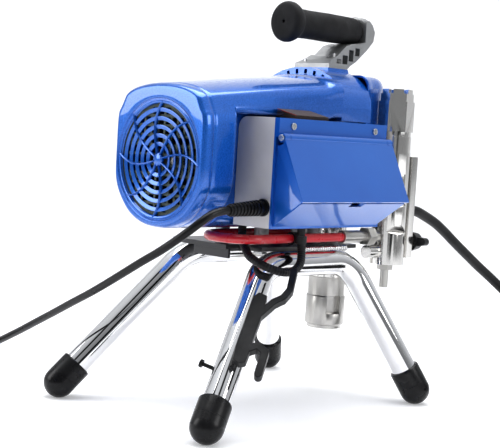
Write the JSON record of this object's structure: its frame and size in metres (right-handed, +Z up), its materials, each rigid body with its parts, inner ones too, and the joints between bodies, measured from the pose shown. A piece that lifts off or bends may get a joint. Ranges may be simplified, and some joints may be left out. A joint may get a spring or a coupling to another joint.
{
  "type": "airless paint sprayer",
  "caption": "Electric airless paint sprayer on a bent tube stand: finned motor in a blue shroud, vertical piston pump, filter manifold, control box with hinged tray, grip, hose and mains cord.",
  "frame": {"origin": "on the floor, under the middle of the machine's bounding box without its cords", "axes": "+X towards the pump end, -Y towards the control box, +Z up"},
  "size_m": [0.6835, 0.7731, 0.4479],
  "materials": {
    "chromed_tube": "polished chrome",
    "cap_rubber": "satin moulded",
    "plate_paint": "semi-gloss black",
    "zinc_fastener": "zinc plated",
    "blue_shell": "metallic blue gloss",
    "screen_plastic": "dark mesh",
    "motor_casting": "as cast",
    "machined_steel": "ground",
    "black_plastic": "fine texture",
    "cast_grey": "satin cast",
    "grip_rubber": "soft matte",
    "box_grey": "fine texture paint",
    "board_green": "solder mask",
    "card": "plain card",
    "stainless": "turned stainless",
    "red_hose": "smooth red jacket",
    "cord_jacket": "satin jacket",
    "plug_plastic": "moulded"
  },
  "bodies": {
    "base": {"leg_tube_near": "chromed_tube", "leg_tube_far": "chromed_tube", "foot_caps": "cap_rubber", "frame_plate": "plate_paint", "frame_bolts": "zinc_fastener", "motor_shroud": "blue_shell", "rear_grille": "blue_shell", "grille_screen": "screen_plastic", "vent_collar": "blue_shell", "front_cover": "blue_shell", "cover_screws": "zinc_fastener", "motor_body": "motor_casting", "drive_housing": "motor_casting", "handle_arm": "cast_grey", "handle_bar": "machined_steel", "handle_grip": "grip_rubber", "handle_screws": "zinc_fastener", "control_box": "box_grey", "circuit_board": "board_green", "tray_cover": "blue_shell", "hinge_pin": "zinc_fastener", "box_screws": "zinc_fastener", "cord_gland": "black_plastic", "info_cards": "card", "pump_cylinder": "stainless", "jam_nut": "stainless", "intake_housing": "stainless", "intake_ball": "machined_steel", "pump_outlet": "stainless", "red_hose": "red_hose", "hose_fittings": "stainless", "hose_conduit": "black_plastic", "hose_clip": "black_plastic", "manifold_block": "stainless", "filter_bowl": "stainless", "filter_cap": "stainless", "filter_element": "stainless", "prime_valve": "stainless", "drain_spout": "stainless", "outlet_nipple": "stainless", "leg_hook": "black_plastic", "hook_screw": "zinc_fastener", "power_cord": "cord_jacket", "cord_coil": "cord_jacket", "cord_plug": "plug_plastic", "paint_hose": "cord_jacket", "hose_coil": "cord_jacket", "hose_connector": "stainless"},
    "lid": {"tray_lid": "blue_shell"},
    "prime_handle": {"prime_knob": "black_plastic"},
    "pressure_dial": {"pressure_knob": "black_plastic"},
    "rocker": {"power_switch": "black_plastic"},
    "rotor": {"motor_shaft": "machined_steel", "motor_fan": "black_plastic", "drive_pinion": "machined_steel"},
    "crank": {"drive_gear": "machined_steel"},
    "piston": {"piston_rod": "machined_steel"},
    "conrod": {"connecting_rod": "machined_steel"}
  },
  "joints": [
    {"name": "lid_hinge", "type": "hinge", "parent": "base", "child": "lid", "pos_m": [-0.01103, -0.10483, 0.297], "axis": [-1, 0, 0], "range_deg": [0, 110]},
    {"name": "prime_turn", "type": "hinge", "parent": "base", "child": "prime_handle", "pos_m": [0.18027, -0.07132, 0.183], "axis": [1, 0, 0], "range_deg": [0, 90]},
    {"name": "pressure_turn", "type": "hinge", "parent": "base", "child": "pressure_dial", "pos_m": [0.08728, -0.06832, 0.275], "axis": [1, 0, 0], "range_deg": [0, 270]},
    {"name": "switch_rock", "type": "hinge", "parent": "base", "child": "rocker", "pos_m": [0.08397, -0.06832, 0.23], "axis": [0, 1, 0], "range_deg": [0, 10]},
    {"name": "motor_spin", "type": "hinge", "parent": "base", "child": "rotor", "pos_m": [-0.01103, 0.00367, 0.267], "axis": [1, 0, 0], "continuous": true},
    {"name": "crank_turn", "type": "hinge", "parent": "base", "child": "crank", "pos_m": [0.07397, 0.00367, 0.322], "axis": [1, 0, 0], "continuous": true},
    {"name": "piston_slide", "type": "slide", "parent": "base", "child": "piston", "axis": [0, 0, 1], "range_m": [0, 0.025]},
    {"name": "rod_swing", "type": "hinge", "parent": "piston", "child": "conrod", "pos_m": [0.12398, 0.00367, 0.2475], "axis": [1, 0, 0], "range_deg": [-11, 11]}
  ],
  "couplings": [
    {"joint": "crank_turn", "follows": "motor_spin", "ratio": -0.375}
  ]
}
